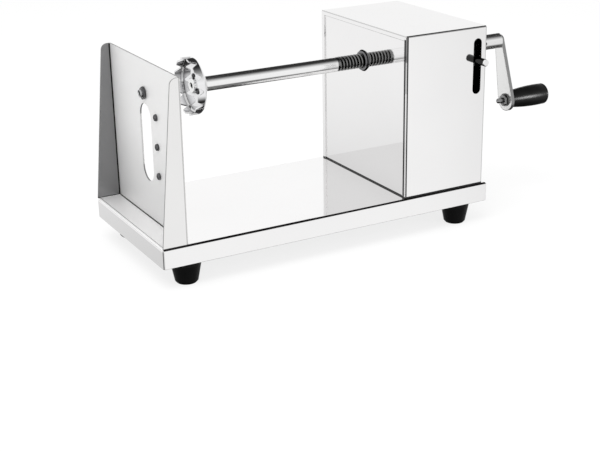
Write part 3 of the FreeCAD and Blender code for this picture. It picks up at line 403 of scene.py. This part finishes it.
FINISHES = {
    "tray": ["base_tray"],
    "bracket": ["blade_bracket"],
    "cover": ["box_cover"],
    "end_plate": ["left_end_plate", "right_end_plate"],
    "blade": ["cutting_blade"],
    "shaft": ["main_shaft"],
    "disc": ["potato_disc"],
    "crank": ["crank_arm"],
    "hub": ["crank_hub", "disc_hub"],
    "handle_steel": ["handle_bolt", "handle_washer", "handle_nut"],
    "turned": ["left_bearing_housing", "right_bearing_housing", "skewer_guide"],
    "screw": [
        "foot_screws", "foot_washers", "foot_nuts", "blade_screws", "blade_nuts", "skewer_guide_nut",
        "end_plate_screws", "end_plate_nuts", "cover_screws", "housing_screws", "housing_nuts",
        "pivot_bolt", "pivot_washer", "pivot_lock_nut", "spring_post", "spring_post_nut",
        "spring_pin", "half_nut_screws", "disc_screws", "disc_set_screw", "hub_set_screw", "grip_washer",
    ],
    "pin": ["release_pin"],
    "lever": ["release_lever"],
    "bronze": ["half_nut", "pivot_spacer", "left_bearing_cage", "right_bearing_cage"],
    "bearing": [
        "left_bearing_outer_ring", "right_bearing_outer_ring", "left_bearing_inner_ring",
        "right_bearing_inner_ring", "left_bearing_balls", "right_bearing_balls",
    ],
    "spring": ["return_spring"],
    "rubber": ["foot_front_left", "foot_front_right", "foot_rear_left", "foot_rear_right"],
    "grip": ["handle_grip"],
}

SAME_PLANE = 0.0002


def finish_nodes():
    done = set()
    for key, names in FINISHES.items():
        for name in names:
            mesh = NODES[name].data
            mesh.materials.clear()
            mesh.materials.append(MATERIALS[key])
            done.add(name)
    missing = sorted(set(NODES) - done)
    if missing:
        raise RuntimeError(f"no finish for {missing}")


def paint_faces(node, key, chosen):
    """Gives the faces that chosen(centre, normal) picks a material of their own."""
    mesh = NODES[node].data
    mesh.materials.append(MATERIALS[key])
    slot = len(mesh.materials) - 1
    for polygon in mesh.polygons:
        if chosen(polygon.center, polygon.normal):
            polygon.material_index = slot


def finish_bracket():
    """The plate's cut side is dull, the far flange's inside is painted dark grey as painted shade and
    reflection of the channel, and the cut edges are raw.
    """
    inner = mm(0, FLANGE_INSIDE, 0).y
    plate = mm(PLATE_FACE, 0, 0).x
    # The far flange's inside gets the painted shade.
    paint_faces(
        "blade_bracket", "bracket_shaded_inside", lambda at, n: abs(at.y - inner) < SAME_PLANE and abs(n.y) > 0.9,
    )
    paint_faces(
        "blade_bracket", "bracket_plate", lambda at, n: abs(at.x - plate) < SAME_PLANE and abs(n.x) > 0.99,
    )
    paint_faces("blade_bracket", "cut_edge", lambda at, n: abs(n.z) > 0.03)


finish_nodes()
finish_bracket()
# The release pin's sides get the painted shade.
paint_faces("release_pin", "pin_shaded_side", lambda at, n: abs(n.y) < 0.5)
paint_faces("crank_arm", "cut_edge", lambda at, n: abs(n.x) < 0.5)


# Floor and light

FLOOR_SIZE = 14
FLOOR_PAINT = 0.97
FLOOR_GLOW = 0.8
SOFT_LIGHT = 0.80

# Flags in the mirrored world: start, full, fade and end, of the direction's x or of its climb in degrees

OVERHEAD_ALONG = (0.30, 0.38, 0.62, 0.68)
ABOVE_CLIMB = (25.5, 29.5, 90, 168)
UNDER_CLIMB = (-62, -55, -33, -28)
FAR_LEFT_ALONG = (-0.9, -0.7, -0.25, -0.1)
FAR_LEFT_CLIMB = (3, 10, 27, 29.5)
OVERHEAD_DARKNESS = 0.97
FAR_LEFT_DARKNESS = 0.2
FRONT_RIGHT_DARKNESS = 0.12

# Where the studio lamps point, and where the grip's own lamp stands from it

MACHINE_MIDDLE = (0, 0, 0.1)
GRIP_LAMP_OFFSET = Vector((0.16, -0.32, 0.03))


def make_floor():
    bpy.ops.mesh.primitive_plane_add(size=FLOOR_SIZE, location=(0, 0, 0))
    floor = bpy.context.object
    floor.name = "studio_floor"
    material = bpy.data.materials.new("floor_paint")
    tree = Tree(material)
    paint = tree.add("ShaderNodeBsdfDiffuse", Color=grey(FLOOR_PAINT))
    glow = tree.add("ShaderNodeEmission", Color=grey(1.0), Strength=1.0)
    seen = tree.add("ShaderNodeLightPath").node.outputs["Is Camera Ray"]
    share = tree.math("MULTIPLY", seen, FLOOR_GLOW)
    tree.deliver(tree.add("ShaderNodeMixShader", i0=share, i1=paint, i2=glow))
    floor.data.materials.append(material)
    floor.visible_glossy = False


def window(tree, factor, limits):
    """0 below start, 1 from full to fade, 0 above end."""
    start, full, fade, end = limits
    rise = tree.ramp(factor, 0.0, 1.0, start, full)
    fall = tree.ramp(factor, 1.0, 0.0, fade, end)
    return tree.math("MULTIPLY", rise, fall)


def climb_window(tree, climb, limits):
    return window(tree, climb, [math.radians(limit) for limit in limits])


def make_world():
    """White all round for the eye and for diffuse light, with dark flags in what polished steel mirrors.

    One flag reaches from behind the machine to above it and fades out towards the front, so the round
    bars show a dark line along their top. Mirrors don't see the floor, and a second flag below the
    horizon gives the bars another line along their bottom. Fainter ones stand at the left and right.
    """
    world = bpy.data.worlds.new("studio")
    bpy.context.scene.world = world
    tree = Tree(world)
    direction = tree.add("ShaderNodeTexCoord", output=0)
    along, across, up = tree.add("ShaderNodeSeparateXYZ", Vector=direction).node.outputs
    below = tree.ramp(up, 0.02, 1.0, -0.78, -0.45)
    level_sky = tree.ramp(up, 0.95, 1.01, 0.20, 0.30)
    climb = tree.math("ARCTAN2", up, across)
    middle = window(tree, along, OVERHEAD_ALONG)
    above = climb_window(tree, climb, ABOVE_CLIMB)
    under = climb_window(tree, climb, UNDER_CLIMB)
    overhead = tree.math("MULTIPLY", middle, any_of(tree, [above, under]))
    left_side = window(tree, along, FAR_LEFT_ALONG)
    far_left = tree.math("MULTIPLY", left_side, climb_window(tree, climb, FAR_LEFT_CLIMB))
    leftward = tree.ramp(along, 1.0, 0.0, -0.3, -0.1)
    rightward = tree.ramp(along, 0.0, 1.0, 0.53, 0.62)
    low_left = tree.math("MULTIPLY", leftward, tree.ramp(up, 0.30, 0.02, -0.41, -0.22))
    front_right = tree.math("MULTIPLY", rightward, tree.ramp(across, 1.0, 0.0, -0.3, -0.1))
    flags = any_of(tree, [
        tree.math("MULTIPLY", overhead, OVERHEAD_DARKNESS),
        tree.math("MULTIPLY", far_left, FAR_LEFT_DARKNESS),
        low_left,
        tree.math("MULTIPLY", front_right, FRONT_RIGHT_DARKNESS),
    ])
    sky = tree.math("MULTIPLY", below, level_sky)
    mirrored = tree.math("MULTIPLY", sky, tree.math("SUBTRACT", 1.0, flags))
    path = tree.nodes.new("ShaderNodeLightPath").outputs
    level = tree.add("ShaderNodeMix", i0=path["Is Glossy Ray"], i2=SOFT_LIGHT, i3=mirrored)
    level = tree.add("ShaderNodeMix", i0=path["Is Camera Ray"], i2=level, i3=1.0)
    background = tree.add("ShaderNodeBackground", Color=level, Strength=1.0)
    tree.deliver(background, "ShaderNodeOutputWorld")


def make_light(name, place, target, size, power, mirrored_in=()):
    """A soft disk lamp that bare metal doesn't mirror.

    mirrored_in names the only nodes that the lamp lights, and those do mirror it.
    """
    data = bpy.data.lights.new(name, "AREA")
    data.shape = "DISK"
    data.size = size
    data.energy = power
    light = bpy.data.objects.new(name, data)
    light.location = place
    light.rotation_euler = (Vector(target) - Vector(place)).to_track_quat("-Z", "Y").to_euler()
    light.visible_glossy = bool(mirrored_in)
    if mirrored_in:
        lit = bpy.data.collections.new(name + "_lit")
        for node in mirrored_in:
            lit.objects.link(NODES[node])
        light.light_linking.receiver_collection = lit
    light.visible_camera = False
    bpy.context.scene.collection.objects.link(light)


make_floor()
make_world()
make_light("soft_top", (-0.9, -0.5, 2.4), MACHINE_MIDDLE, size=1.8, power=34)
make_light("soft_front", (0.9, -2.2, 1.3), MACHINE_MIDDLE, size=1.4, power=8)
grip_low, grip_high = (Vector(corner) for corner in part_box("handle_grip"))
grip_middle = (grip_low + grip_high) / 2
grip_lamp = grip_middle + GRIP_LAMP_OFFSET
make_light("soft_side", grip_lamp, grip_middle, size=0.12, power=2.6, mirrored_in=("handle_grip",))
bpy.context.scene.view_settings.view_transform = "Standard"
